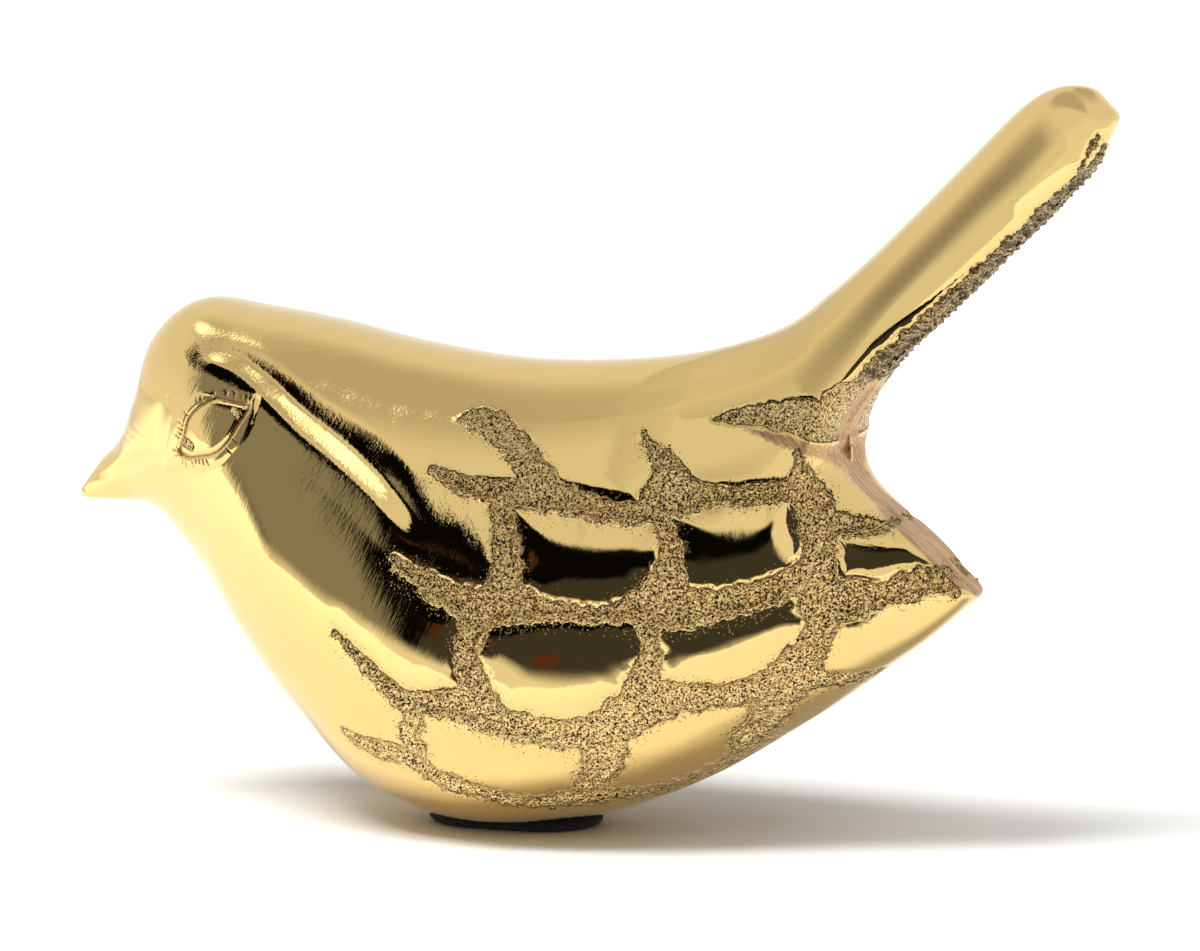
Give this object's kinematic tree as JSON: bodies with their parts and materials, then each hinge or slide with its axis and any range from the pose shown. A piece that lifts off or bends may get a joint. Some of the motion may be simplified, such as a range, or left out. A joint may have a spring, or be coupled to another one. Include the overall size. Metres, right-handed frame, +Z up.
{
  "type": "bird figurine",
  "caption": "Hollow cast metal bird ornament with a raised tail and feather-scaled flanks, resting on a felt pad under its belly.",
  "frame": {"origin": "centre of the felt pad's underside, on the surface that the bird rests on", "axes": "+Z up, +X from head to tail, +Y to the bird's right"},
  "size_m": [0.1281, 0.046, 0.088],
  "materials": {
    "cast_metal": "polished high areas over rough as-cast channels",
    "braze": "as flowed",
    "adhesive": "matte film",
    "felt": "pressed felt"
  },
  "bodies": {
    "root": {"cast_half_left": "cast_metal", "cast_half_right": "cast_metal", "seam_braze": "braze", "pad_adhesive": "adhesive", "felt_pad": "felt"}
  },
  "joints": []
}
